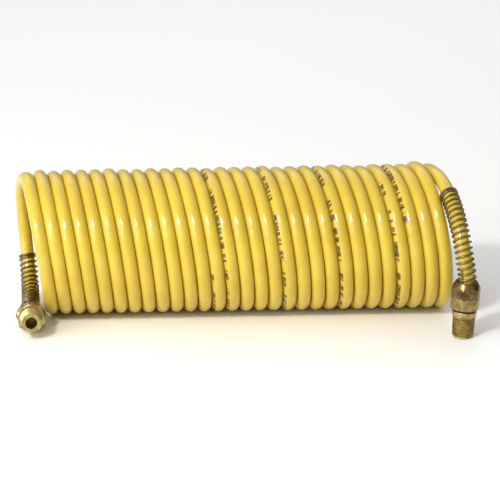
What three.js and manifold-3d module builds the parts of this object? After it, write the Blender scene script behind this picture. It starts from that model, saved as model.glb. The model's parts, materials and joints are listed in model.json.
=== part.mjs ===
// Coiled air hose: one length of nylon tube wound into a close right-hand coil, with a
// rigid male fitting on the supply end and a swivelling male fitting on the tool end.
// Units are millimetres. The coil's axis runs along +X, the fittings come out towards -Y,
// and everything stands on z = 0. The group's origin is the bottom centre of its box.
import * as THREE from 'three';
import Module from 'manifold-3d';
import { mergeVertices } from 'three/addons/utils/BufferGeometryUtils.js';

const wasm = await Module();
wasm.setup();

// ---------------------------------------------------------------- driving dimensions
const GAP = 0.3;                       // clearance between pieces that touch on the real hose

const HOSE_OD = 8.3;
const HOSE_ID = 6.35;                  // 1/4 in bore
const COIL_RADIUS = 40.5;              // from the coil's axis to the middle of the tube
const COIL_PITCH = 8.54;               // from turn to turn, so that the turns all but touch
const COIL_TURNS = 29;
const COIL_SIDES = 47;                 // odd, so that one facet lies flat on the floor
const COIL_CHAMFER = HOSE_OD * (1 - Math.SQRT1_2);
// The turns lean: x falls with height and with depth behind the axis.
const LEAN_PER_HEIGHT = -0.083;
const LEAN_PER_DEPTH = -0.173;

const HEX_FLATS = 15.875;              // 5/8 in across flats, on nuts and bodies
const HEX_CORNER_RADIUS = 9.0;         // the corners are turned off a little
const ROUND_SIDES = 24;

const GUARD_TURNS = 19;
const GUARD_RADIUS = 5;                // to the middle of the wire
const GUARD_WIRE = 1.2;
const GUARD_LENGTH = 60;
const GUARD_SEGMENTS = 12;             // per turn

// Stations along a fitting, measured from the nut's open rear end towards the pipe thread.
const NUT_LENGTH = 9.2;
const NUT_SHOULDER = 4.2;              // where the rear cone reaches the full hexagon
const NUT_REAR_RADIUS = 6.5;
const GUARD_SEAT_DEPTH = 3;
const BOSS_START = 7.3;
const HOSE_END = 9.4;
const HEX_START = NUT_LENGTH + GAP;
const SEAT_END = 10.8;
const HEX_END = 16.8;
const RIGID_THREAD_START = 17.9;
const COLLAR_START = 17.9;
const SWIVEL_THREAD_START = 21.4;
const THREAD_LENGTH = 13;
const PIPE_RADIUS = 6.8;               // 1/4-18 NPT, large end
const PIPE_TAPER = 1 / 32;             // radius lost per millimetre of length
const PIPE_BORE = 3.5;

// Where the two fittings lie: the middle of each nut's rear face, and the way it points.
// The supply fitting lies on its nut's rear edge and a corner of its body, so its thread is
// tipped up. The tool fitting stands on the rim of its thread, leaning a little.
const SUPPLY_YAW = THREE.MathUtils.degToRad(7.5);
const SUPPLY_TIP_UP = THREE.MathUtils.degToRad(7.6);
const SUPPLY_NUT = new THREE.Vector3(-128, -24.7, 7.55);
const SUPPLY_DIRECTION = new THREE.Vector3(
  Math.sin(SUPPLY_YAW) * Math.cos(SUPPLY_TIP_UP),
  -Math.cos(SUPPLY_YAW) * Math.cos(SUPPLY_TIP_UP), Math.sin(SUPPLY_TIP_UP));
const TOOL_LEAN = THREE.MathUtils.degToRad(3);
const TOOL_DIRECTION = new THREE.Vector3(-Math.sin(TOOL_LEAN), 0, -Math.cos(TOOL_LEAN));
const THREAD_TIP_RADIUS = 5.7;
const SWIVEL_LENGTH = SWIVEL_THREAD_START + THREAD_LENGTH;
const TOOL_NUT = new THREE.Vector3(
  134.1, -58.5, THREAD_TIP_RADIUS * Math.sin(TOOL_LEAN) + SWIVEL_LENGTH * Math.cos(TOOL_LEAN));

// How far each hexagon's corner is turned from the fitting's own upward side, in degrees.
const SUPPLY_NUT_TURN = 30;
const SUPPLY_BODY_TURN = 8;
const TOOL_HEX_TURN = 17;

// ---------------------------------------------------------------- materials
const nylon = new THREE.MeshStandardMaterial({ color: 0xf7d34a, roughness: 0.35, metalness: 0 });
const brass = new THREE.MeshStandardMaterial({ color: 0xb5954a, roughness: 0.3, metalness: 1 });
const bodyBrass = new THREE.MeshStandardMaterial({ color: 0xc0a052, roughness: 0.35, metalness: 1 });
const springSteel = new THREE.MeshStandardMaterial({ color: 0x5a5045, roughness: 0.4, metalness: 1 });
const blackRubber = new THREE.MeshStandardMaterial({ color: 0x161616, roughness: 0.7, metalness: 0 });
const acetal = new THREE.MeshStandardMaterial({ color: 0x2b2926, roughness: 0.6, metalness: 0 });

// ---------------------------------------------------------------- solids
function toSolid(geometry) {
  const bare = geometry.clone();
  bare.deleteAttribute('normal');
  bare.deleteAttribute('uv');
  const merged = mergeVertices(bare, 1e-4);
  return new wasm.Manifold(new wasm.Mesh({
    numProp: 3,
    vertProperties: new Float32Array(merged.attributes.position.array),
    triVerts: new Uint32Array(merged.index.array),
  }));
}

function toGeometry(solid) {
  const { vertProperties, triVerts } = solid.getMesh();
  const geometry = new THREE.BufferGeometry();
  geometry.setAttribute('position', new THREE.BufferAttribute(new Float32Array(vertProperties), 3));
  geometry.setIndex(new THREE.BufferAttribute(new Uint32Array(triVerts), 1));
  geometry.computeVertexNormals();
  return geometry;
}

// A turned piece. The outline holds [radius, station] pairs going up the outside; a piece
// with a bore repeats its first pair at the end, and a solid one starts and ends on the axis.
function turned(outline, sides = ROUND_SIDES) {
  const points = outline.map(([radius, station]) => new THREE.Vector2(radius, station));
  return new THREE.LatheGeometry(points, sides);
}

// A hexagon bar between two stations, cut to a turned outline so that its ends are chamfered.
function hexagon(start, end, outline) {
  const bar = new THREE.CylinderGeometry(
    HEX_FLATS / Math.sqrt(3), HEX_FLATS / Math.sqrt(3), end - start, 6);
  bar.translate(0, (start + end) / 2, 0);
  return toSolid(bar).intersect(toSolid(turned(outline)));
}

function piece(name, geometry, material) {
  const mesh = new THREE.Mesh(geometry, material);
  mesh.name = name;
  return mesh;
}

// ---------------------------------------------------------------- the coil
const BAND_INNER = COIL_RADIUS - HOSE_OD / 2;
const BAND_OUTER = COIL_RADIUS + HOSE_OD / 2;
const COIL_AXIS_HEIGHT = BAND_OUTER * Math.cos(Math.PI / COIL_SIDES);
const COIL_START_X = -COIL_PITCH * (COIL_TURNS / 2 + 0.16);

// The middle of the tube after so many turns from the top, where each turn starts.
function coilPoint(turns) {
  const angle = 2 * Math.PI * turns;
  const depth = -COIL_RADIUS * Math.sin(angle);
  const height = COIL_RADIUS * Math.cos(angle);
  return new THREE.Vector3(
    COIL_START_X + COIL_PITCH * turns + LEAN_PER_HEIGHT * height + LEAN_PER_DEPTH * depth,
    depth, COIL_AXIS_HEIGHT + height);
}

// The cut through the band of turns at one side of the ring, as x and radius pairs.
function bandSection(turns) {
  const left = COIL_START_X + COIL_PITCH * turns - HOSE_OD / 2;
  const right = left + COIL_PITCH * (COIL_TURNS - 1) + HOSE_OD;
  return [
    [left, BAND_INNER + COIL_CHAMFER], [left + COIL_CHAMFER, BAND_INNER],
    [right - COIL_CHAMFER, BAND_INNER], [right, BAND_INNER + COIL_CHAMFER],
    [right, BAND_OUTER - COIL_CHAMFER], [right - COIL_CHAMFER, BAND_OUTER],
    [left + COIL_CHAMFER, BAND_OUTER], [left, BAND_OUTER - COIL_CHAMFER],
  ];
}

// Part of the ring between two of its sides. Both ends of the ring climb by one pitch over
// the turn, as the wound tube does, and the whole ring takes the turns' lean.
function bandArc(firstSide, lastSide) {
  const positions = [];
  const indices = [];
  for (let side = firstSide; side <= lastSide; side += 1) {
    const angle = 2 * Math.PI * (side % COIL_SIDES) / COIL_SIDES;
    for (const [x, radius] of bandSection(side / COIL_SIDES)) {
      const depth = -radius * Math.sin(angle);
      const height = radius * Math.cos(angle);
      const lean = LEAN_PER_HEIGHT * height + LEAN_PER_DEPTH * depth;
      positions.push(x + lean, depth, COIL_AXIS_HEIGHT + height);
    }
  }
  const corners = 8;
  const rows = lastSide - firstSide;
  for (let row = 0; row < rows; row += 1) {
    for (let corner = 0; corner < corners; corner += 1) {
      const here = row * corners + corner;
      const next = row * corners + (corner + 1) % corners;
      indices.push(here, next, here + corners, next, next + corners, here + corners);
    }
  }
  const lastRow = rows * corners;
  for (let corner = 1; corner < corners - 1; corner += 1) {
    indices.push(0, corner + 1, corner);
    indices.push(lastRow, lastRow + corner, lastRow + corner + 1);
  }
  const geometry = new THREE.BufferGeometry();
  geometry.setAttribute('position', new THREE.Float32BufferAttribute(positions, 3));
  geometry.setIndex(indices);
  return toSolid(geometry);
}

function coilBand() {
  const half = (COIL_SIDES + 1) / 2;
  return toGeometry(bandArc(0, half).add(bandArc(half, COIL_SIDES)));
}

// ---------------------------------------------------------------- the two tails
const alongFitting = (origin, direction, stations) =>
  stations.map((station) => origin.clone().addScaledVector(direction, station));

// The turns meet the ring's end steps at a slant, so a tail starts this far from its step.
const STEP_CLEARANCE = 1.8;
const STEP_TURNS = STEP_CLEARANCE / (2 * Math.PI * COIL_RADIUS);

// Down behind the first turn, then forwards just above the floor into the supply fitting.
const supplyRoute = new THREE.CatmullRomCurve3([
  coilPoint(-STEP_TURNS),
  new THREE.Vector3(-133.0, 14.0, 80.6),
  new THREE.Vector3(-135.3, 24.5, 70.5),
  new THREE.Vector3(-136.0, 28.9, 57.0),
  new THREE.Vector3(-135.4, 27.6, 43.0),
  new THREE.Vector3(-134.1, 22.8, 29.5),
  new THREE.Vector3(-132.9, 17.4, 20.0),
  new THREE.Vector3(-132.1, 11.5, 13.2),
  new THREE.Vector3(-131.2, 4.0, 8.6),
  new THREE.Vector3(-130.3, -4.0, 6.5),
  new THREE.Vector3(-129.5, -12.0, 6.1),
  ...alongFitting(SUPPLY_NUT, SUPPLY_DIRECTION, [-4, 0, 5, HOSE_END]),
]);

// Over the top behind the last turn, then forwards and down into the tool fitting.
const toolRoute = new THREE.CatmullRomCurve3([
  coilPoint(COIL_TURNS + STEP_TURNS),
  new THREE.Vector3(122.0, -11.0, 84.8),
  new THREE.Vector3(124.8, -22.8, 81.7),
  new THREE.Vector3(127.1, -34.3, 76.5),
  new THREE.Vector3(129.2, -44.3, 69.4),
  new THREE.Vector3(131.2, -52.0, 59.9),
  new THREE.Vector3(132.9, -56.8, 48.6),
  ...alongFitting(TOOL_NUT, TOOL_DIRECTION, [-3, 0, 5, HOSE_END]),
]);

function tail(route) {
  const section = new THREE.Shape();
  section.absarc(0, 0, HOSE_OD / 2, 0, 2 * Math.PI);
  const bore = new THREE.Path();
  bore.absarc(0, 0, HOSE_ID / 2, 0, 2 * Math.PI);
  section.holes.push(bore);
  const steps = Math.round(route.getLength() / 6);
  return new THREE.ExtrudeGeometry(section, { extrudePath: route, steps, curveSegments: 5 });
}

// The middle line of a guard's wire: a helix wound round the last stretch of a route.
class GuardWire extends THREE.Curve {
  constructor(route) {
    super();
    this.route = route;
    this.arcLengthDivisions = GUARD_TURNS * GUARD_SEGMENTS * 2;
  }

  getPoint(t, target = new THREE.Vector3()) {
    const routeLength = this.route.getLength();
    const inside = HOSE_END - (GUARD_SEAT_DEPTH - GAP - GUARD_WIRE / 2);
    const u = 1 - (inside + GUARD_LENGTH * (1 - t)) / routeLength;
    const tangent = this.route.getTangentAt(u);
    const across = new THREE.Vector3(1, 0, 0).addScaledVector(tangent, -tangent.x).normalize();
    const other = new THREE.Vector3().crossVectors(tangent, across);
    const angle = 2 * Math.PI * GUARD_TURNS * t;
    return target.copy(this.route.getPointAt(u))
      .addScaledVector(across, GUARD_RADIUS * Math.cos(angle))
      .addScaledVector(other, GUARD_RADIUS * Math.sin(angle));
  }
}

function guard(route) {
  const section = new THREE.Shape();
  section.absarc(0, 0, GUARD_WIRE / 2, 0, 2 * Math.PI);
  const wire = new GuardWire(route);
  const steps = GUARD_TURNS * GUARD_SEGMENTS;
  return new THREE.ExtrudeGeometry(section, { extrudePath: wire, steps, curveSegments: 3 });
}

// ---------------------------------------------------------------- fitting pieces
const HOSE_BORE_RADIUS = HOSE_OD / 2 + 0.4;      // every hole that the tube slips into
const BOSS_RADIUS = 5.5;
const WAIST_RADIUS = 6.3;
const WATERWAY_RADIUS = 2.6;

function compressionNut() {
  const outside = hexagon(0, NUT_LENGTH, [
    [0, 0], [NUT_REAR_RADIUS, 0], [HEX_CORNER_RADIUS, NUT_SHOULDER],
    [HEX_CORNER_RADIUS, NUT_LENGTH - 0.6], [HEX_CORNER_RADIUS - 0.9, NUT_LENGTH], [0, NUT_LENGTH],
  ]);
  const guardSeat = GUARD_RADIUS + GUARD_WIRE / 2 + GAP;
  const threadBore = BOSS_RADIUS + GAP;
  const chamber = GUARD_SEAT_DEPTH + 1.2;
  const hole = toSolid(turned([
    [0, -1], [guardSeat, -1], [guardSeat, GUARD_SEAT_DEPTH], [HOSE_BORE_RADIUS, GUARD_SEAT_DEPTH],
    [HOSE_BORE_RADIUS, chamber], [threadBore, chamber + 0.8], [threadBore, NUT_LENGTH + 1],
    [0, NUT_LENGTH + 1],
  ]));
  return toGeometry(outside.subtract(hole));
}

function ferrule() {
  const inner = HOSE_OD / 2 + GAP;
  return turned([
    [4.75, 5.2], [5.3, 5.7], [5.3, 6.4], [4.75, 7], [inner, 7], [inner, 5.2], [4.75, 5.2],
  ]);
}

function tubeInsert() {
  const outer = HOSE_ID / 2 - 0.5;
  const inner = outer - 0.6;
  return turned([
    [outer, 1], [outer, HOSE_END + GAP], [4, HOSE_END + GAP], [4, SEAT_END - GAP],
    [inner, SEAT_END - GAP], [inner, 1], [outer, 1],
  ], 24);
}

function hexSection() {
  return hexagon(HEX_START, HEX_END, [
    [0, HEX_START], [HEX_CORNER_RADIUS - 0.9, HEX_START], [HEX_CORNER_RADIUS, HEX_START + 0.6],
    [HEX_CORNER_RADIUS, HEX_END - 0.8], [HEX_CORNER_RADIUS - 1.2, HEX_END], [0, HEX_END],
  ]);
}

function pipeThread(start) {
  const end = start + THREAD_LENGTH;
  const tip = end - 0.8;
  return [
    [PIPE_RADIUS, start], [PIPE_RADIUS - (tip - start) * PIPE_TAPER, tip],
    [THREAD_TIP_RADIUS, end], [0, end],
  ];
}

function maleBody() {
  const core = toSolid(turned([
    [0, BOSS_START], [BOSS_RADIUS - 0.4, BOSS_START], [BOSS_RADIUS, BOSS_START + 0.4],
    [BOSS_RADIUS, HEX_START], [WAIST_RADIUS, HEX_START + 1],
    [WAIST_RADIUS, RIGID_THREAD_START - 0.5], ...pipeThread(RIGID_THREAD_START),
  ]));
  const hole = toSolid(turned([
    [0, BOSS_START - 1], [HOSE_BORE_RADIUS, BOSS_START - 1], [HOSE_BORE_RADIUS, SEAT_END],
    [PIPE_BORE, SEAT_END], [PIPE_BORE, SWIVEL_LENGTH], [0, SWIVEL_LENGTH],
  ]));
  return toGeometry(core.add(hexSection()).subtract(hole));
}

// The swivel's bore holds the stud's shank; one groove takes the retaining ring.
const SHANK_RADIUS = 4.6;
const SWIVEL_BORE = SHANK_RADIUS + 0.35;
const WEB_END = SEAT_END + 1;
const RING_GROOVE = { start: 14.3, end: 15.7, bodyRadius: 5.7, shankRadius: 3.9 };
const SEAL_GROOVE = { start: 12.5, end: 13.9, radius: 3.7 };

function swivelBody() {
  const boss = toSolid(turned([
    [0, BOSS_START], [BOSS_RADIUS - 0.4, BOSS_START], [BOSS_RADIUS, BOSS_START + 0.4],
    [BOSS_RADIUS, HEX_START + 1], [0, HEX_START + 1],
  ]));
  const hole = toSolid(turned([
    [0, BOSS_START - 1], [HOSE_BORE_RADIUS, BOSS_START - 1], [HOSE_BORE_RADIUS, SEAT_END],
    [WATERWAY_RADIUS, SEAT_END], [WATERWAY_RADIUS, WEB_END], [SWIVEL_BORE, WEB_END],
    [SWIVEL_BORE, RING_GROOVE.start], [RING_GROOVE.bodyRadius, RING_GROOVE.start],
    [RING_GROOVE.bodyRadius, RING_GROOVE.end], [SWIVEL_BORE, RING_GROOVE.end],
    [SWIVEL_BORE, HEX_END + 1], [0, HEX_END + 1],
  ]));
  return toGeometry(boss.add(hexSection()).subtract(hole));
}

function swivelStud() {
  const collarRadius = 7.4;
  const outside = toSolid(turned([
    [0, WEB_END + GAP], [SHANK_RADIUS - 0.3, WEB_END + GAP], [SHANK_RADIUS, SEAL_GROOVE.start - 0.1],
    [SHANK_RADIUS, SEAL_GROOVE.start], [SEAL_GROOVE.radius, SEAL_GROOVE.start],
    [SEAL_GROOVE.radius, SEAL_GROOVE.end], [SHANK_RADIUS, SEAL_GROOVE.end],
    [SHANK_RADIUS, RING_GROOVE.start], [RING_GROOVE.shankRadius, RING_GROOVE.start],
    [RING_GROOVE.shankRadius, RING_GROOVE.end], [SHANK_RADIUS, RING_GROOVE.end],
    [SHANK_RADIUS, COLLAR_START], [collarRadius - 0.4, COLLAR_START],
    [collarRadius, COLLAR_START + 0.4], [collarRadius, SWIVEL_THREAD_START - 0.4],
    ...pipeThread(SWIVEL_THREAD_START),
  ]));
  const collarLength = SWIVEL_THREAD_START - COLLAR_START;
  const spannerFlat = new THREE.BoxGeometry(4, collarLength + 0.2, 4 * collarRadius);
  const middle = COLLAR_START + collarLength / 2;
  const left = toSolid(spannerFlat.clone().translate(-6.9 - 2, middle, 0));
  const right = toSolid(spannerFlat.clone().translate(6.9 + 2, middle, 0));
  const hole = toSolid(turned([
    [0, WEB_END - 1], [WATERWAY_RADIUS, WEB_END - 1], [WATERWAY_RADIUS, COLLAR_START + 1],
    [PIPE_BORE, COLLAR_START + 2], [PIPE_BORE, SWIVEL_LENGTH + 1], [0, SWIVEL_LENGTH + 1],
  ]));
  return toGeometry(outside.subtract(left).subtract(right).subtract(hole));
}

function sealRing() {
  const middle = (SEAL_GROOVE.start + SEAL_GROOVE.end) / 2;
  const radius = (SEAL_GROOVE.radius + SWIVEL_BORE) / 2;
  return new THREE.TorusGeometry(radius, 0.32, 6, 24).rotateX(Math.PI / 2).translate(0, middle, 0);
}

function retainingRing() {
  const opening = 0.35;
  const inner = RING_GROOVE.shankRadius + GAP;
  const outer = RING_GROOVE.bodyRadius - GAP;
  const outline = new THREE.Shape();
  outline.absarc(0, 0, outer, opening, 2 * Math.PI - opening, false);
  outline.absarc(0, 0, inner, 2 * Math.PI - opening, opening, true);
  outline.closePath();
  const thickness = RING_GROOVE.end - RING_GROOVE.start - 2 * GAP;
  return new THREE.ExtrudeGeometry(
    outline, { depth: thickness, bevelEnabled: false, curveSegments: 16 })
    .rotateX(Math.PI / 2).translate(0, RING_GROOVE.end - GAP, 0);
}

function thrustWasher() {
  const inner = SHANK_RADIUS + GAP;
  const outer = 6.6;
  const start = HEX_END + GAP;
  const end = COLLAR_START - GAP;
  return turned([[outer, start], [outer, end], [inner, end], [inner, start], [outer, start]]);
}

// ---------------------------------------------------------------- assembly
// A fitting's own +Y points the way its pipe thread leaves, and its own +Z is the given
// upward side, squared to that.
function fittingFrame(origin, direction, upward) {
  const side = new THREE.Vector3().crossVectors(direction, upward).normalize();
  const up = new THREE.Vector3().crossVectors(side, direction);
  const frame = new THREE.Group();
  frame.position.copy(origin);
  frame.quaternion.setFromRotationMatrix(new THREE.Matrix4().makeBasis(side, direction, up));
  return frame;
}

// A hexagon piece, turned about its fitting's axis as far as it was tightened.
function turnedTo(mesh, degrees) {
  mesh.rotateY(THREE.MathUtils.degToRad(degrees));
  return mesh;
}

// Both ends hold the tube in the same way.
function tubeGrip(frame, end, nutTurn) {
  frame.add(turnedTo(piece(`nut_${end}`, compressionNut(), brass), nutTurn));
  frame.add(piece(`ferrule_${end}`, ferrule(), brass));
  frame.add(piece(`insert_${end}`, tubeInsert(), brass));
}

const supplyFitting = fittingFrame(SUPPLY_NUT, SUPPLY_DIRECTION, new THREE.Vector3(0, 0, 1));
tubeGrip(supplyFitting, 'supply', SUPPLY_NUT_TURN);
supplyFitting.add(turnedTo(piece('male_body', maleBody(), bodyBrass), SUPPLY_BODY_TURN));

const toolFitting = fittingFrame(TOOL_NUT, TOOL_DIRECTION, new THREE.Vector3(0, -1, 0));
tubeGrip(toolFitting, 'tool', TOOL_HEX_TURN);
toolFitting.add(turnedTo(piece('swivel_body', swivelBody(), bodyBrass), TOOL_HEX_TURN));
toolFitting.add(piece('swivel_stud', swivelStud(), bodyBrass));
toolFitting.add(piece('swivel_seal', sealRing(), blackRubber));
toolFitting.add(piece('retaining_ring', retainingRing(), springSteel));
toolFitting.add(piece('thrust_washer', thrustWasher(), acetal));

const assembly = new THREE.Group();
assembly.add(piece('hose_coil', coilBand(), nylon));
assembly.add(piece('hose_tail_supply', tail(supplyRoute), nylon));
assembly.add(piece('hose_tail_tool', tail(toolRoute), nylon));
assembly.add(piece('guard_supply', guard(supplyRoute), springSteel));
assembly.add(piece('guard_tool', guard(toolRoute), springSteel));
assembly.add(supplyFitting, toolFitting);

const box = new THREE.Box3().setFromObject(assembly, true);
const centre = box.getCenter(new THREE.Vector3());
assembly.position.set(-centre.x, -centre.y, -box.min.z);

const hose = new THREE.Group();
hose.add(assembly);

export default hose;
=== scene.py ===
import json
import math

import bpy
import numpy as np
from mathutils import Matrix, Vector


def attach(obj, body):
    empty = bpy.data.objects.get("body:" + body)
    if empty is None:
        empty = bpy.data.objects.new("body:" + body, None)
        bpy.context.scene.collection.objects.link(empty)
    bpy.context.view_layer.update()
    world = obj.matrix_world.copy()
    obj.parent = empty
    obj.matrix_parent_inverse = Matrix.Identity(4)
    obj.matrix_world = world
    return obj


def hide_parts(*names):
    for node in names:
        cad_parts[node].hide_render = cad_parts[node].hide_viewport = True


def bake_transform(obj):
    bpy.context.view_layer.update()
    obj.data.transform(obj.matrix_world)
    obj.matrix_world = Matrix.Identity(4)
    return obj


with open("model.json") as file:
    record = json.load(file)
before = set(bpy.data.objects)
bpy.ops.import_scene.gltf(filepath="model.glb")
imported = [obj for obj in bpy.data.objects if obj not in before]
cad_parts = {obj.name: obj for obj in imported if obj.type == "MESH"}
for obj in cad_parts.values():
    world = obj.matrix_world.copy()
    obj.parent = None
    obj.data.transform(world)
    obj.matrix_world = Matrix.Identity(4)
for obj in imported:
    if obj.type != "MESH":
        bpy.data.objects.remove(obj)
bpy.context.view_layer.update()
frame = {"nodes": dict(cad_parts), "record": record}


# ======================================================================================
# Camera
# It stands in front of the coil and square to it, a little over a metre away, and looks
# down at it by 18 degrees.
# ======================================================================================

mm = 0.001
camera_elevation = math.radians(18)
camera_roll = math.radians(1.0)
camera_distance = 1116.0 * mm
camera_lens = 129.7
aim_above_underside = Vector((5.5, 0.0, 37.2)) * mm

mounts = {mount["name"]: mount for mount in frame["record"]["mounts"]}
aim = Vector(mounts["coil_underside"]["pos_m"]) + aim_above_underside
backwards = Vector((0, -math.cos(camera_elevation), math.sin(camera_elevation)))
camera_data = bpy.data.cameras.new("camera")
camera_data.lens = camera_lens
camera_data.sensor_width = 36
camera_data.clip_start = 0.05
camera_data.clip_end = 60
camera = bpy.data.objects.new("camera", camera_data)
camera.rotation_mode = "QUATERNION"
camera.location = aim + backwards * camera_distance
camera.rotation_quaternion = (
    (-backwards).to_track_quat("-Z", "Y").to_matrix() @ Matrix.Rotation(-camera_roll, 3, "Z")
).to_quaternion()
bpy.context.scene.collection.objects.link(camera)
bpy.context.scene.camera = camera


# ======================================================================================
# The hose
# One length of nylon 12 tube, extruded yellow and wound hot on a mandrel, so that it keeps
# its coil. Both ends are drawn out of the coil and run into their fittings.
# ======================================================================================

hose_od = 8.3
coil_radius = 40.5                     # from the coil's axis to the middle of the tube
coil_pitch = 8.54
coil_turns = 29
coil_axis_height = coil_radius + hose_od / 2
coil_start = -coil_pitch * (coil_turns / 2 + 0.16)
lean_per_height = -0.083               # the turns lean, so x falls with height
lean_per_depth = -0.173                # and with depth behind the axis
slow_wave = (0.30, 2.3, 0.4)           # rise, radians per turn and start of a wave
quick_wave = (0.22, 5.1, 1.9)
raised_turn = 1.3                      # how far the last turn but one stands proud
raised_width = 0.16                    # in turns
crowding = 0.33                        # how far the turns crowd together towards each end
crowded_turns = 3
hose_end_station = 9.4                 # how far the tube runs into a fitting
rings_per_turn = 84
hose_sides = 24

# The middle of each nut's rear face, in millimetres from the point on the floor under the
# middle of the coil. The tool fitting stands on its thread's rim, so its height follows.
tool_fitting_length = 34.4
tool_tip_radius = 5.7
tool_lean = math.radians(3)
supply_nut = np.array([-128.0, -24.7, 7.55])
tool_nut = np.array([134.1, -58.5, tool_tip_radius * math.sin(tool_lean)
                     + tool_fitting_length * math.cos(tool_lean)])

supply_tail = [
    (-129.5, -12.0, 6.1), (-130.3, -4.0, 6.5), (-131.2, 4.0, 8.6), (-132.1, 11.5, 13.2),
    (-132.9, 17.4, 20.0), (-134.1, 22.8, 29.5), (-135.4, 27.6, 43.0), (-136.0, 28.9, 57.0),
    (-135.3, 24.5, 70.5), (-133.0, 14.0, 80.6),
]
tool_tail = [
    (122.0, -11.0, 84.8), (124.8, -22.8, 81.7), (127.1, -34.3, 76.5), (129.2, -44.3, 69.4),
    (131.2, -52.0, 59.9), (132.9, -56.8, 48.6),
]


def unit(vectors):
    """Each vector divided by its own length."""
    vectors = np.asarray(vectors, float)
    return vectors / np.linalg.norm(vectors, axis=-1, keepdims=True)


# The swivel joint sits on the tool fitting's axis at the thread's end, which gives the
# point under the coil.
joints = {joint["name"]: joint for joint in frame["record"]["behaviour"]["joints"]}
supply_axis = unit(mounts["supply_thread_end"]["axis"])
tool_axis = unit(mounts["tool_thread_end"]["axis"])
coil_foot = np.array(joints["tool_swivel"]["pos_m"]) / mm - (
    tool_nut + tool_fitting_length * tool_axis)


def coil_line(turns):
    """The tube's middle after so many turns from the top: a right-hand helix about X whose
    turns lean. Its radius is the coil's plus two sine waves and one bell-shaped rise, all
    fading to nothing at the floor and at the two ends, so that the turns don't lie like a
    machined thread. Towards each end the turns crowd together."""
    turns = np.asarray(turns, float)
    angle = 2 * np.pi * turns
    free = np.clip(np.minimum(turns, coil_turns - turns), 0, 1) * (1 + np.cos(angle)) / 2
    proud = sum(rise * np.sin(rate * turns + start)
                for rise, rate, start in (slow_wave, quick_wave))
    proud = proud + raised_turn * np.exp(-((turns - coil_turns + 1) / raised_width) ** 2)
    shifted = np.interp(turns, [0, crowded_turns, coil_turns - crowded_turns, coil_turns],
                        [0, -crowding, crowding, 0])
    radius = coil_radius + proud * free
    depth = -radius * np.sin(angle)
    height = radius * np.cos(angle)
    across = coil_start + coil_pitch * turns + shifted
    return np.stack([
        across + lean_per_height * height + lean_per_depth * depth,
        depth, coil_axis_height + height], axis=-1)


def distances(line):
    """How far along a line each of its points is: the running sum of its steps' lengths."""
    return np.concatenate([[0], np.cumsum(np.linalg.norm(np.diff(line, axis=0), axis=1))])


def catmull_rom(points, per_span):
    """A centripetal Catmull-Rom curve through the points: between two points it blends the
    two parabolas through their neighbours, with knots spaced by the root of the distance."""
    points = np.asarray(points, float)
    padded = np.vstack([2 * points[0] - points[1], points, 2 * points[-1] - points[-2]])
    knots = np.concatenate(
        [[0], np.cumsum(np.sqrt(np.linalg.norm(np.diff(padded, axis=0), axis=1)))])
    pieces = []
    for span in range(1, len(padded) - 2):
        p0, p1, p2, p3 = padded[span - 1:span + 3]
        k0, k1, k2, k3 = knots[span - 1:span + 3]
        k = np.linspace(k1, k2, per_span, endpoint=False)[:, None]
        a1 = (k1 - k) / (k1 - k0) * p0 + (k - k0) / (k1 - k0) * p1
        a2 = (k2 - k) / (k2 - k1) * p1 + (k - k1) / (k2 - k1) * p2
        a3 = (k3 - k) / (k3 - k2) * p2 + (k - k2) / (k3 - k2) * p3
        b1 = (k2 - k) / (k2 - k0) * a1 + (k - k0) / (k2 - k0) * a2
        b2 = (k3 - k) / (k3 - k1) * a2 + (k - k1) / (k3 - k1) * a3
        pieces.append((k2 - k) / (k2 - k1) * b1 + (k - k1) / (k2 - k1) * b2)
    return np.vstack([*pieces, points[-1:]])


def evenly(line, step):
    """The same line with its points about one step apart along its length."""
    along = distances(line)
    at = np.linspace(0, along[-1], int(round(along[-1] / step)) + 1)
    return np.stack([np.interp(at, along, line[:, axis]) for axis in range(3)], axis=1)


# The tails' curves run two spans into the coil, so that they leave it smoothly, and are
# then cut off where the coil starts.
span_points = 40
lead_in = np.arange(3) / 24            # in turns
tail_step = 2 * np.pi * coil_radius / rings_per_turn
supply_curve = catmull_rom(np.vstack([
    supply_nut + np.outer([hose_end_station, 5, 0, -4], supply_axis),
    supply_tail, coil_line(lead_in)]), span_points)[:-2 * span_points]
tool_curve = catmull_rom(np.vstack([
    coil_line(coil_turns - lead_in[::-1]), tool_tail,
    tool_nut + np.outer([-3, 0, 5, hose_end_station], tool_axis)]), span_points)[2 * span_points:]
supply_line = evenly(supply_curve, tail_step)
tool_line = evenly(tool_curve, tail_step)
coil_rings = np.linspace(0, coil_turns, coil_turns * rings_per_turn + 1)
hose_line = np.vstack([supply_line[:-1], coil_line(coil_rings), tool_line[1:]]) + coil_foot
hose_along = distances(hose_line)


def frames(line):
    """For each point of a line that never runs along X: the way it goes, and the two
    directions square to that, one nearest to +X and one away from the coil's middle."""
    forwards = unit(np.gradient(line, axis=0))
    sideways = unit(np.array([1.0, 0, 0]) - forwards[:, :1] * forwards)
    return forwards, sideways, np.cross(forwards, sideways)


def carried(line, radius, sides, oval):
    """A tube: at each point of the line, a loop in the plane square to the line, starting on
    the side away from the coil's middle and turning towards +X. It is a circle of that
    radius, made wider sideways and flatter outwards by the share that oval gives."""
    _, sideways, outwards = frames(line)
    angle = 2 * np.pi * np.arange(sides) / sides
    flat = (np.cos(angle) * (1 - oval[:, None]))[..., None] * outwards[:, None]
    wide = (np.sin(angle) * (1 + oval[:, None]))[..., None] * sideways[:, None]
    return line[:, None] + radius * (flat + wide)


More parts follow.
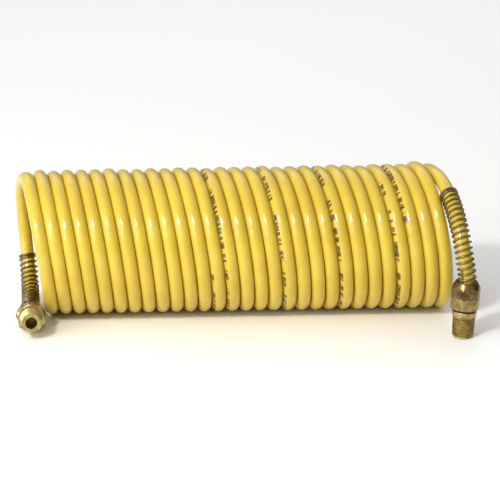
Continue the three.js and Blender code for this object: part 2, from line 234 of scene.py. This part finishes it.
def piece_from_grid(name, grid, along, closed=False):
    """A closed mesh from rows of points in millimetres. Each row is a loop; the rows either
    join up end to end or have flat ends. Its UV map runs once round in u, and in v it is
    the distance along, in hundredths of a metre. Faces are turned to point outwards."""
    rows, columns = grid.shape[:2]
    row, column = np.meshgrid(np.arange(rows if closed else rows - 1), np.arange(columns),
                              indexing="ij")
    row, column = row.ravel(), column.ravel()
    next_row, next_column = (row + 1) % rows, (column + 1) % columns
    quads = np.stack([row * columns + column, row * columns + next_column,
                      next_row * columns + next_column, next_row * columns + column], axis=1)
    along = np.asarray(along, float) / 10
    v_next = np.where(next_row == 0, along[-1], along[next_row])
    uv = np.stack([
        np.stack([column, column + 1, column + 1, column], axis=1) / columns,
        np.stack([along[row], along[row], v_next, v_next], axis=1)], axis=-1)
    points = grid.reshape(-1, 3)
    corner = points[quads]
    fan = np.cross(corner[:, 1], corner[:, 2]) + np.cross(corner[:, 2], corner[:, 3])
    flip = np.sum(corner[:, 0] * fan) < 0          # a volume below nothing is inside out
    if flip:
        quads, uv = quads[:, ::-1], uv[:, ::-1]
    faces = quads.tolist()
    uv = uv.reshape(-1, 2)
    if not closed:
        first = list(range(columns))
        last = list(range((rows - 1) * columns, rows * columns))
        faces += [first if flip else first[::-1], last[::-1] if flip else last]
        uv = np.vstack([uv, np.tile([0.5, along[0]], (columns, 1)),
                        np.tile([0.5, along[-1]], (columns, 1))])
    mesh = bpy.data.meshes.new(name)
    mesh.from_pydata((points * mm).tolist(), [], faces)
    mesh.uv_layers.new(name="around_and_along").data.foreach_set(
        "uv", uv.astype(np.float32).ravel())
    mesh.polygons.foreach_set("use_smooth", np.full(len(faces), True))
    mesh.update()
    made = bpy.data.objects.new(name, mesh)
    bpy.context.scene.collection.objects.link(made)
    return made


def colour(hex_code):
    """An sRGB hex colour as linear red, green, blue and full alpha."""
    channels = np.array([int(hex_code[i:i + 2], 16) for i in (1, 3, 5)]) / 255
    linear = np.where(channels <= 0.04045, channels / 12.92, ((channels + 0.055) / 1.055) ** 2.4)
    return (*linear.tolist(), 1.0)


def node(tree, kind, inputs=None, **settings):
    """Add one shader node, set its properties, and fill or link each of its inputs."""
    made = tree.nodes.new("ShaderNode" + kind)
    for name, value in settings.items():
        setattr(made, name, value)
    for name, value in (inputs or {}).items():
        if isinstance(value, bpy.types.NodeSocket):
            tree.links.new(value, made.inputs[name])
        else:
            made.inputs[name].default_value = value
    return made


def material(name):
    """A new material: its node tree, its shader and the material itself."""
    made = bpy.data.materials.new(name)
    made.use_nodes = True
    return made, made.node_tree, made.node_tree.nodes["Principled BSDF"]


coil_first_ring = len(supply_line) - 1
turn_length = 2 * math.pi * coil_radius
ink_cell = 2.3                         # length in which the ink keeps one height
ink_around = 0.862                     # where on the tube's round it is, as a share
ink_stretch = 1.15                     # turns that are printed,
ink_repeat = 4.3                       # in every so many turns,
ink_first = 12.4 + hose_along[coil_first_ring] / turn_length   # from here


def extruded_nylon():
    """Plasticised nylon 12, extruded: a smooth, faintly milky yellow with a clear gloss, fine
    draw lines along the tube, and short worn ink strokes in stretches that keep to one side."""
    made, tree, shader = material("extruded_nylon")
    place = node(tree, "UVMap", uv_map="around_and_along").outputs["UV"]
    apart = node(tree, "SeparateXYZ", {"Vector": place}).outputs
    around, along = apart["X"], apart["Y"]

    # Clouds in the pigment, some 25 mm across.
    space = node(tree, "TexCoord").outputs["Object"]
    cloud = node(tree, "TexNoise", {"Vector": space, "Scale": 40.0, "Detail": 3.0}).outputs["Fac"]
    pigment = node(tree, "ValToRGB", {"Fac": cloud})
    pigment.color_ramp.elements[0].position = 0.3
    pigment.color_ramp.elements[0].color = colour("#C5A834")
    pigment.color_ramp.elements[1].position = 0.7
    pigment.color_ramp.elements[1].color = colour("#D2B63F")

    # Ink: strokes a few millimetres long, on the side of the tube that faces the turn
    # before. A random number for each cell sets the height, and moves it a little. Gaps
    # come from a slower noise.
    cell = node(tree, "Math", {0: along, 1: 10 / ink_cell}, operation="MULTIPLY").outputs[0]
    number = node(tree, "Math", {0: cell}, operation="FLOOR").outputs[0]
    chance = node(tree, "TexWhiteNoise", {"W": number}, noise_dimensions="1D").outputs["Value"]
    aside = node(tree, "Math", {0: around, 1: ink_around}, operation="SUBTRACT").outputs[0]
    wander = node(tree, "Math", {0: chance, 1: 0.012, 2: -0.006},
                  operation="MULTIPLY_ADD").outputs[0]
    aside = node(tree, "Math", {0: aside, 1: wander}, operation="ADD").outputs[0]
    off = node(tree, "Math", {0: aside}, operation="ABSOLUTE").outputs[0]
    height = node(tree, "Math", {0: chance, 1: 0.028, 2: 0.036}, operation="MULTIPLY_ADD").outputs[0]
    in_band = node(tree, "Math", {0: off, 1: height}, operation="LESS_THAN").outputs[0]
    strokes = node(tree, "TexNoise", {"W": along, "Scale": 3.8, "Detail": 1.0},
                   noise_dimensions="1D").outputs["Fac"]
    in_stroke = node(tree, "Math", {0: strokes, 1: 0.45}, operation="GREATER_THAN").outputs[0]
    gaps = node(tree, "TexNoise", {"W": along, "Scale": 1.1, "Detail": 1.0},
                noise_dimensions="1D").outputs["Fac"]
    in_group = node(tree, "Math", {0: gaps, 1: 0.44}, operation="GREATER_THAN").outputs[0]
    repeat = node(tree, "Math", {0: along, 1: 10 / (ink_repeat * turn_length),
                                 2: -ink_first / ink_repeat}, operation="MULTIPLY_ADD").outputs[0]
    started = node(tree, "Math", {0: repeat, 1: 0.0}, operation="GREATER_THAN").outputs[0]
    stretch = node(tree, "Math", {0: repeat}, operation="FRACT").outputs[0]
    stretch = node(tree, "Math", {0: stretch, 1: ink_stretch / ink_repeat},
                   operation="LESS_THAN").outputs[0]
    # The ink is worn in specks about a millimetre across.
    specks = node(tree, "TexNoise", {"Vector": space, "Scale": 900.0, "Detail": 2.0}).outputs["Fac"]
    worn = node(tree, "MapRange", {"Value": specks, "From Min": 0.35, "From Max": 0.55,
                                   "To Min": 0.55, "To Max": 0.95}).outputs["Result"]
    ink = in_band
    for part in (in_stroke, in_group, started, stretch, worn):
        ink = node(tree, "Math", {0: ink, 1: part}, operation="MULTIPLY").outputs[0]
    tint = node(tree, "Mix", {"Factor": ink, "A": pigment.outputs["Color"],
                              "B": colour("#43302E")}, data_type="RGBA")
    tree.links.new(tint.outputs["Result"], shader.inputs["Base Color"])

    # Draw lines: noise stretched along the tube, one line every half millimetre or so.
    lines_at = node(tree, "Mapping", {"Vector": place, "Scale": (50.0, 0.25, 1.0)}).outputs[0]
    lines = node(tree, "TexNoise", {"Vector": lines_at, "Scale": 1.0, "Detail": 2.0}).outputs["Fac"]
    bump = node(tree, "Bump", {"Height": lines, "Strength": 0.1, "Distance": 0.00004})
    tree.links.new(bump.outputs["Normal"], shader.inputs["Normal"])
    gloss = node(tree, "MapRange", {"Value": cloud, "From Min": 0.3, "From Max": 0.7,
                                    "To Min": 0.13, "To Max": 0.2}).outputs["Result"]
    tree.links.new(gloss, shader.inputs["Roughness"])
    shader.inputs["IOR"].default_value = 1.52
    shader.inputs["Subsurface Weight"].default_value = 0.12
    shader.inputs["Subsurface Radius"].default_value = (1.0, 0.55, 0.12)
    shader.inputs["Subsurface Scale"].default_value = 1.0 * mm
    return made


# Bending the tube into the coil has flattened it a little, so that its turns touch.
turns_from_ends = np.minimum(hose_along - hose_along[coil_first_ring],
                             hose_along[-len(tool_line)] - hose_along) / turn_length
flattening = 0.016
hose_oval = flattening * np.clip(0.5 + 2 * turns_from_ends, 0, 1)
hose = piece_from_grid("hose", carried(hose_line, hose_od / 2, hose_sides, hose_oval), hose_along)
hose.data.materials.append(extruded_nylon())
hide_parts("hose_coil", "hose_tail_supply", "hose_tail_tool")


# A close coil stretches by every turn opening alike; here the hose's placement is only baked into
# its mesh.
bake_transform(hose)


# ======================================================================================
# Spring guards
# A length of spring wire wound to slip over the hose, with one turn closed at its free end and one
# in the nut, which grips it. Its olive-brown colour is partly the wire's own and partly a painted
# reflection of the yellow hose. It keeps the hose from kinking there.
# ======================================================================================

guard_turns = 19
guard_radius = 5.0
guard_wire = 1.3
guard_length = 60.0
guard_end_station = 2.7                # how far it goes into the nut
closed_turns = 0.8                     # wound close at each end,
opening_turns = 0.4                    # then opening over this much
wire_steps = 44                        # per turn
wire_sides = 12


def drawn_wire():
    """Drawn spring wire, oil tempered: an olive-brown tint, partly the wire's own colour and partly
    a painted reflection of the yellow hose, streaked by drawing scratches that run along the wire."""
    made, tree, shader = material("drawn_wire")
    place = node(tree, "UVMap", uv_map="around_and_along").outputs["UV"]
    # Scratches, some 0.3 mm apart and 20 mm long.
    lines_at = node(tree, "Mapping", {"Vector": place, "Scale": (14.0, 0.5, 1.0)}).outputs[0]
    lines = node(tree, "TexNoise", {"Vector": lines_at, "Scale": 1.0, "Detail": 4.0}).outputs["Fac"]
    # Olive-brown tone in streaks along the scratches: partly the wire's own colour, partly a painted
    # reflection of the yellow hose.
    wire_tint_and_reflection = node(tree, "ValToRGB", {"Fac": lines})
    wire_tint_and_reflection.color_ramp.elements[0].position = 0.35
    wire_tint_and_reflection.color_ramp.elements[0].color = colour("#665837")
    wire_tint_and_reflection.color_ramp.elements[1].position = 0.7
    wire_tint_and_reflection.color_ramp.elements[1].color = colour("#A08C5E")
    tree.links.new(wire_tint_and_reflection.outputs["Color"], shader.inputs["Base Color"])
    shader.inputs["Metallic"].default_value = 1.0
    dull = node(tree, "MapRange", {"Value": lines, "To Min": 0.42, "To Max": 0.26}).outputs["Result"]
    tree.links.new(dull, shader.inputs["Roughness"])
    bump = node(tree, "Bump", {"Height": lines, "Strength": 0.3, "Distance": 0.00004})
    tree.links.new(bump.outputs["Normal"], shader.inputs["Normal"])
    return made


wire_finish = drawn_wire()


def guard(name, line):
    """A spring wound round the end of a line: a circle of the guard's radius, square to the
    line, turns as its middle moves along the line, by a wire's width per turn at both ends
    and by an even pitch between that makes up the guard's length."""
    along = distances(line)
    last = along[-1] - (hose_end_station - guard_end_station) - guard_wire / 2
    turns = np.linspace(0, guard_turns, guard_turns * wire_steps + 1)
    from_end = np.minimum(turns, guard_turns - turns)
    closed = 1 - np.clip((from_end - closed_turns) / opening_turns, 0, 1)
    closed_pitch = 1.03 * guard_wire
    length_closed = closed.mean() * guard_turns * closed_pitch
    open_pitch = (guard_length - length_closed) / ((1 - closed).mean() * guard_turns)
    pitch = closed * closed_pitch + (1 - closed) * open_pitch
    travelled = np.concatenate([[0], np.cumsum((pitch[1:] + pitch[:-1]) / 2 * np.diff(turns))])
    at = last - guard_length + travelled
    _, sideways, outwards = frames(line)
    on = [np.stack([np.interp(at, along, values[:, axis]) for axis in range(3)], axis=1)
          for values in (line, sideways, outwards)]
    angle = 2 * np.pi * turns[:, None]
    middle = on[0] + guard_radius * (np.cos(angle) * on[1] + np.sin(angle) * on[2])
    forwards = unit(np.gradient(middle, axis=0))
    from_hose = unit(middle - on[0])
    from_hose = unit(from_hose - (from_hose * forwards).sum(1, keepdims=True) * forwards)
    beside = np.cross(forwards, from_hose)
    turn = 2 * np.pi * np.arange(wire_sides) / wire_sides
    grid = middle[:, None] + guard_wire / 2 * (
        np.cos(turn)[:, None] * from_hose[:, None] + np.sin(turn)[:, None] * beside[:, None])
    made = piece_from_grid(name, grid, distances(middle))
    made.data.materials.append(wire_finish)
    return made


supply_guard = guard("supply_guard", supply_line[::-1] + coil_foot)
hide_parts("guard_supply")
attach(supply_guard, "supply_end")
tool_guard = guard("tool_guard", tool_line + coil_foot)
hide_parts("guard_tool")
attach(tool_guard, "tool_end")


# ======================================================================================
# Compression nuts
# Turned from 5/8 inch hexagon brass bar: a cone at the back, the guard's seat and a hole
# for the hose inside it, then the ferrule's taper and the thread onto the body.
# ======================================================================================

hex_flats = 15.875
hex_corner_radius = 9.0                # the bar's corners are turned down to this
turned_columns = 144
edge_round = 0.16                      # how much the tool leaves on an edge
edge_ease = 0.05                       # and where a flat meets a turned face
longest_step = 0.6                     # between two points of an outline


def turned_brass(name, light, dark):
    """Free-cutting brass, turned bright and then handled: a soft shine with fine tool rings
    round the axis, and a brown tarnish in patches some four millimetres across."""
    made, tree, shader = material(name)
    place = node(tree, "UVMap", uv_map="around_and_along").outputs["UV"]
    space = node(tree, "TexCoord").outputs["Object"]
    patches = node(tree, "TexNoise", {"Vector": space, "Scale": 260.0, "Detail": 4.0,
                                      "Roughness": 0.6}).outputs["Fac"]
    metal = node(tree, "ValToRGB", {"Fac": patches})
    metal.color_ramp.elements[0].position = 0.34
    metal.color_ramp.elements[0].color = colour(dark)
    metal.color_ramp.elements[1].position = 0.62
    metal.color_ramp.elements[1].color = colour(light)
    tree.links.new(metal.outputs["Color"], shader.inputs["Base Color"])
    shader.inputs["Metallic"].default_value = 1.0
    dull = node(tree, "MapRange", {"Value": patches, "From Min": 0.3, "From Max": 0.7,
                                   "To Min": 0.42, "To Max": 0.29}).outputs["Result"]
    tree.links.new(dull, shader.inputs["Roughness"])
    # Tool rings 0.12 mm apart, drawn every 0.25 mm so that they show.
    rings_at = node(tree, "Mapping", {"Vector": place, "Scale": (1.5, 40.0, 1.0)}).outputs[0]
    rings = node(tree, "TexNoise", {"Vector": rings_at, "Scale": 1.0, "Detail": 3.0}).outputs["Fac"]
    bump = node(tree, "Bump", {"Height": rings, "Strength": 0.12, "Distance": 0.00002})
    tree.links.new(bump.outputs["Normal"], shader.inputs["Normal"])
    return made


# The nuts' brass is darker than the bodies': painted shade standing in for the dark surroundings the
# nuts reflect.
nut_finish = turned_brass("painted_shade_nut_brass", "#84704A", "#54432B")


def eased(outline):
    """A closed outline of radius and station pairs, with each corner cut back on both sides
    and joined by a small arc, and long straight runs split into short ones."""
    corners = np.asarray(outline, float)
    before, after = np.roll(corners, 1, axis=0), np.roll(corners, -1, axis=0)
    back, ahead = before - corners, after - corners
    back_length = np.linalg.norm(back, axis=1, keepdims=True)
    ahead_length = np.linalg.norm(ahead, axis=1, keepdims=True)
    cut = np.minimum(edge_round, 0.4 * np.minimum(back_length, ahead_length))
    start, end = corners + back / back_length * cut, corners + ahead / ahead_length * cut
    t = np.array([0, 0.3, 0.7, 1.0])[None, :, None]
    arcs = (1 - t) ** 2 * start[:, None] + 2 * t * (1 - t) * corners[:, None] + t * t * end[:, None]
    arcs = arcs.reshape(-1, 2)
    runs = np.linalg.norm(np.roll(arcs, -1, axis=0) - arcs, axis=1)
    pieces = [np.linspace(a, b, max(1, int(np.ceil(run / longest_step))), endpoint=False)
              for a, b, run in zip(arcs, np.roll(arcs, -1, axis=0), runs)]
    return np.vstack(pieces)


def hexagon(radius, angle):
    """The lesser of the turned radius and the hexagon bar's, which is half the width across
    flats over the cosine of the angle from a flat's middle. The edge where the two meet is
    eased by taking a smooth minimum."""
    sector = np.mod(angle + np.pi / 6, np.pi / 3) - np.pi / 6
    bar = hex_flats / 2 / np.cos(sector)
    return -edge_ease * np.logaddexp(-radius / edge_ease, -bar / edge_ease)


def turned_piece(name, seat, outline, shape=None):
    """A turned piece on a fitting: the outline carried round the fitting's axis, from the
    direction of its spanner flat. shape may change the radius with station and angle."""
    origin, axis, flat = seat
    profile = eased(outline)
    angle = 2 * np.pi * np.arange(turned_columns) / turned_columns
    radius = np.repeat(profile[:, :1], turned_columns, axis=1)
    if shape:
        radius = shape(radius, profile[:, 1:], angle[None])
    towards = np.cos(angle)[:, None] * flat + np.sin(angle)[:, None] * np.cross(axis, flat)
    grid = origin + profile[:, 1][:, None, None] * axis + radius[..., None] * towards[None]
    return piece_from_grid(name, grid, profile[:, 1], closed=True)


def seat(nut, axis, facing):
    """Where a turned piece sits: its nut's rear centre, the way its thread points, and the
    given direction squared to that."""
    facing = np.asarray(facing, float)
    return nut + coil_foot, axis, unit(facing - facing @ axis * axis)


# The supply nut has a flat on top. The tool nut was tightened in line with its body.
nut_seats = {
    "supply": seat(supply_nut, supply_axis, (0, 0, 1)),
    "tool": seat(tool_nut, tool_axis, mounts["tool_spanner_flat"]["axis"]),
}
nut_length = 9.46                      # screwed home against the body's shoulder
nut_outline = [
    (6.5, 0.0), (hex_corner_radius, 4.2), (hex_corner_radius, 8.9), (8.3, nut_length),
    (5.8, nut_length), (5.8, 5.0), (4.55, 4.2), (4.55, 3.0), (5.9, 3.0), (5.9, 0.0),
]


def hexagon_all_over(radius, station, angle):
    """Hexagon bar from end to end, wherever it isn't turned smaller."""
    return hexagon(radius, angle)


for end in ("supply", "tool"):
    nut = turned_piece(end + "_nut", nut_seats[end], nut_outline, hexagon_all_over)
    nut.data.materials.append(nut_finish)
    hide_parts("nut_" + end)
    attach(nut, end + "_end")


# ======================================================================================
# Ferrules and tube inserts
# Small brass sleeves hidden in the fittings: the ferrule bites the hose from outside and
# the insert holds it open from inside. They stay as the frame has them.
# ======================================================================================


def refinish(name, finish):
    """Give a piece that stays as the frame has it its finish."""
    materials = frame["nodes"][name].data.materials
    materials.clear()
    materials.append(finish)


sleeve_finish = turned_brass("fine_turned_brass", "#C8B274", "#A8945A")
for name in ("ferrule_supply", "ferrule_tool", "insert_supply", "insert_tool"):
    refinish(name, sleeve_finish)


# ======================================================================================
# Rigid male body
# One turning from hexagon brass bar: the nut's thread behind, the hexagon, a waist and a
# 1/4 inch taper pipe thread, bored right through.
# ======================================================================================

body_finish = turned_brass("turned_body_brass", "#CBB87E", "#9C8A54")

pipe_radius = 6.8
pipe_taper = 1 / 32                    # on the radius
pipe_pitch = 25.4 / 18
thread_length = 13.0
thread_depth = 0.8
thread_chamfer = 0.8                   # the unthreaded length at the tip
thread_wall = 1.3                      # only metal this near the crests is cut
outline_step = 0.09                    # fine enough to hold the thread's V


def pipe_thread(radius, station, angle, start):
    """The radius less a V groove that winds once round per pitch, right-hand, with small
    flats at crest and root. It fades out over a millimetre at both ends, and leaves the
    bore alone."""
    phase = np.mod(station / pipe_pitch - angle / (2 * np.pi), 1)
    groove = np.clip((1 - np.abs(2 * phase - 1)) * 1.25 - 0.1, 0, 1)
    fade_in = np.clip(station - start, 0, 1)
    fade_out = np.clip(start + thread_length + 0.3 - station, 0, 1)
    crest = pipe_radius - (station - start) * pipe_taper
    outside = (radius > crest - thread_wall) & (station > start)
    return np.where(outside, radius - thread_depth * groove * fade_in * fade_out, radius)


def thread_outline(start):
    """The threaded length's outside: a taper of 1 in 16 on the diameter, in small steps."""
    station = np.arange(start, start + thread_length - thread_chamfer, outline_step)
    return list(zip(pipe_radius - (station - start) * pipe_taper, station))


rigid_start = 17.9
rigid_end = rigid_start + thread_length
hex_start = 9.5
hex_end = 16.8
waist_station = 17.1
male_outline = [
    (3.5, rigid_end), (3.5, 10.8), (4.55, 10.8), (4.55, 7.3), (5.1, 7.3), (5.5, 7.7),
    (5.5, hex_start), (8.3, hex_start), (hex_corner_radius, 10.0), (hex_corner_radius, 16.0),
    (7.8, hex_end), (6.3, hex_end), (6.3, 17.4), *thread_outline(rigid_start), (5.7, rigid_end),
]


def male_shape(radius, station, angle):
    """Hexagon bar as far as the waist, and the pipe thread."""
    cut = np.where(station < waist_station, hexagon(radius, angle), radius)
    return pipe_thread(cut, station, angle, rigid_start)


male_seat = seat(supply_nut, supply_axis, mounts["supply_spanner_flat"]["axis"])
male = turned_piece("male_body_turning", male_seat, male_outline, male_shape)
male.data.materials.append(body_finish)
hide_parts("male_body")
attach(male, "supply_end")


# ======================================================================================
# Swivel body and stud
# The tool end's body is cut short behind a bored hexagon. The stud's shank turns in it on
# an O-ring, held by a split ring, and a thin washer takes the thrust under its collar.
# ======================================================================================

swivel_outline = [
    (5.7, 15.7), (5.7, 14.3), (4.95, 14.3), (4.95, 11.8), (2.6, 11.8), (2.6, 10.8),
    (4.55, 10.8), (4.55, 7.3), (5.1, 7.3), (5.5, 7.7), (5.5, hex_start), (8.3, hex_start),
    (hex_corner_radius, 10.0), (hex_corner_radius, 16.0), (7.8, hex_end), (4.95, hex_end),
    (4.95, 15.7),
]
# The swivel body's brass is a darker copy of the male body's: painted shade standing in for dark
# reflections.
swivel_finish = turned_brass("painted_shade_body_brass", "#AD9865", "#79673A")
swivel = turned_piece("swivel_body_turning", nut_seats["tool"], swivel_outline, hexagon_all_over)
swivel.data.materials.append(swivel_finish)
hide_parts("swivel_body")
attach(swivel, "tool_end")

collar_start = 17.9
collar_radius = 7.4
collar_flats = 13.8
swivel_start = 21.4
stud_outline = [
    (3.5, tool_fitting_length), (3.5, 19.9), (2.6, 18.9), (2.6, 12.1), (4.3, 12.1), (4.6, 12.4),
    (4.6, 12.5), (3.7, 12.5), (3.7, 13.9), (4.6, 13.9), (4.6, 14.3), (3.9, 14.3), (3.9, 15.7),
    (4.6, 15.7), (4.6, collar_start), (7.0, collar_start), (collar_radius, collar_start + 0.4),
    (collar_radius, swivel_start - 0.4), *thread_outline(swivel_start),
    (5.7, tool_fitting_length),
]


def stud_shape(radius, station, angle):
    """Two spanner flats across the collar, and the pipe thread."""
    flat = collar_flats / 2 / np.maximum(np.abs(np.cos(angle)), 0.2)
    on_collar = (station > collar_start - 0.1) & (station < swivel_start)
    cut = np.where(on_collar, np.minimum(radius, flat), radius)
    return pipe_thread(cut, station, angle, swivel_start)


stud_seat = seat(tool_nut, tool_axis, (1, 0, 0))
stud = turned_piece("swivel_stud_turning", stud_seat, stud_outline, stud_shape)
stud.data.materials.append(turned_brass("turned_stud_brass", "#BFAB72", "#8F7C49"))
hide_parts("swivel_stud")
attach(stud, "swivel_stud")


# ======================================================================================
# Seal, split ring and washer
# A nitrile O-ring, a phosphated spring-steel ring and a black acetal washer, all hidden
# in the swivel but for the washer's edge. They stay as the frame has them.
# ======================================================================================


def plain_finish(name, tone, other_tone, metallic, roughness, grain):
    """A small hidden piece's finish: two close tones in a grain about a millimetre across."""
    made, tree, shader = material(name)
    space = node(tree, "TexCoord").outputs["Object"]
    noise = node(tree, "TexNoise", {"Vector": space, "Scale": grain, "Detail": 3.0}).outputs["Fac"]
    tones = node(tree, "Mix", {"Factor": noise, "A": colour(tone), "B": colour(other_tone)},
                 data_type="RGBA")
    tree.links.new(tones.outputs["Result"], shader.inputs["Base Color"])
    shader.inputs["Metallic"].default_value = metallic
    shader.inputs["Roughness"].default_value = roughness
    return made


# Nitrile: matt and near black. Phosphate on steel: a dull, crystalline grey. Acetal: an
# even black with a low shine.
nitrile = plain_finish("moulded_nitrile", "#171717", "#202020", 0.0, 0.55, 900.0)
phosphate = plain_finish("phosphated_steel", "#3C3B3A", "#565452", 0.9, 0.5, 1500.0)
acetal = plain_finish("turned_acetal", "#262422", "#302D2A", 0.0, 0.45, 1200.0)
refinish("swivel_seal", nitrile)
refinish("retaining_ring", phosphate)
refinish("thrust_washer", acetal)


# ======================================================================================
# Hose and fittings together
# The nylon tube lies coiled in one stiff length, 25 feet from end to end, and both of its ends are
# held in the fittings.
# ======================================================================================


# ======================================================================================
# Floor and light
# A plain white sweep. A small key light stands in front, to the left and above, with a
# weaker one under it, soft panels beside the coil's left end and over the floor behind,
# and a pale surround.
# ======================================================================================

half = 30.0                            # the sweep is 60 m square
floor_corners = [(-half, -half, 0), (half, -half, 0), (half, half, 0), (-half, half, 0)]
floor_mesh = bpy.data.meshes.new("floor")
floor_mesh.from_pydata(floor_corners, [], [(0, 1, 2, 3)])
floor = bpy.data.objects.new("floor", floor_mesh)
bpy.context.scene.collection.objects.link(floor)
white, tree, shader = material("white_sweep")
shader.inputs["Base Color"].default_value = colour("#FBFBFA")
shader.inputs["Roughness"].default_value = 0.6
floor.data.materials.append(white)


def panel(name, place, facing, size, watts, tint):
    """A flat soft light that faces a point."""
    data = bpy.data.lights.new(name, "AREA")
    data.shape = "RECTANGLE"
    data.size, data.size_y = size
    data.energy = watts
    data.color = colour(tint)[:3]
    lamp = bpy.data.objects.new(name, data)
    lamp.rotation_mode = "QUATERNION"
    lamp.location = Vector(place)
    lamp.rotation_quaternion = (Vector(facing) - lamp.location).to_track_quat("-Z", "Y")
    bpy.context.scene.collection.objects.link(lamp)


panel("key", aim + 1.4 * Vector((-0.419, -0.661, 0.622)), aim, (0.156, 0.156), 11.3, "#FFFEFA")
panel("low key", aim + 2.5 * Vector((-0.428, -0.818, 0.385)), aim, (0.22, 0.22), 3.5, "#FFFFFF")
panel("side", aim + Vector((-0.75, -0.45, 0.27)), aim, (0.5, 0.4), 2.8, "#FFFFFF")
panel("backdrop", (0.0, 1.1, 1.0), (0.0, 1.1, 0.0), (1.8, 0.9), 4.5, "#FFFFFF")

# The surround is bright overhead and on the left, and dim on the right near the floor.
world = bpy.data.worlds.new("surround")
world.use_nodes = True
sky = world.node_tree
looking = node(sky, "TexCoord").outputs["Generated"]
towards_light = node(sky, "VectorMath", {0: looking, 1: (-0.5, -0.15, 0.85)},
                     operation="DOT_PRODUCT").outputs["Value"]
reach = node(sky, "MapRange", {"Value": towards_light, "From Min": -0.45, "From Max": 0.6})
dome = node(sky, "ValToRGB", {"Fac": reach.outputs["Result"]})
dome.color_ramp.elements[0].color = colour("#6A6055")
dome.color_ramp.elements[1].color = colour("#FFFFFF")
# Where the surround itself is in view, past the floor, it is plain and pale.
in_view = node(sky, "LightPath").outputs["Is Camera Ray"]
shown = node(sky, "Mix", {"Factor": in_view, "A": dome.outputs["Color"],
                          "B": colour("#FFFFFF")}, data_type="RGBA")
sky.links.new(shown.outputs["Result"], sky.nodes["Background"].inputs["Color"])
sky.nodes["Background"].inputs["Strength"].default_value = 0.7
bpy.context.scene.world = world
bpy.context.scene.view_settings.view_transform = "Standard"
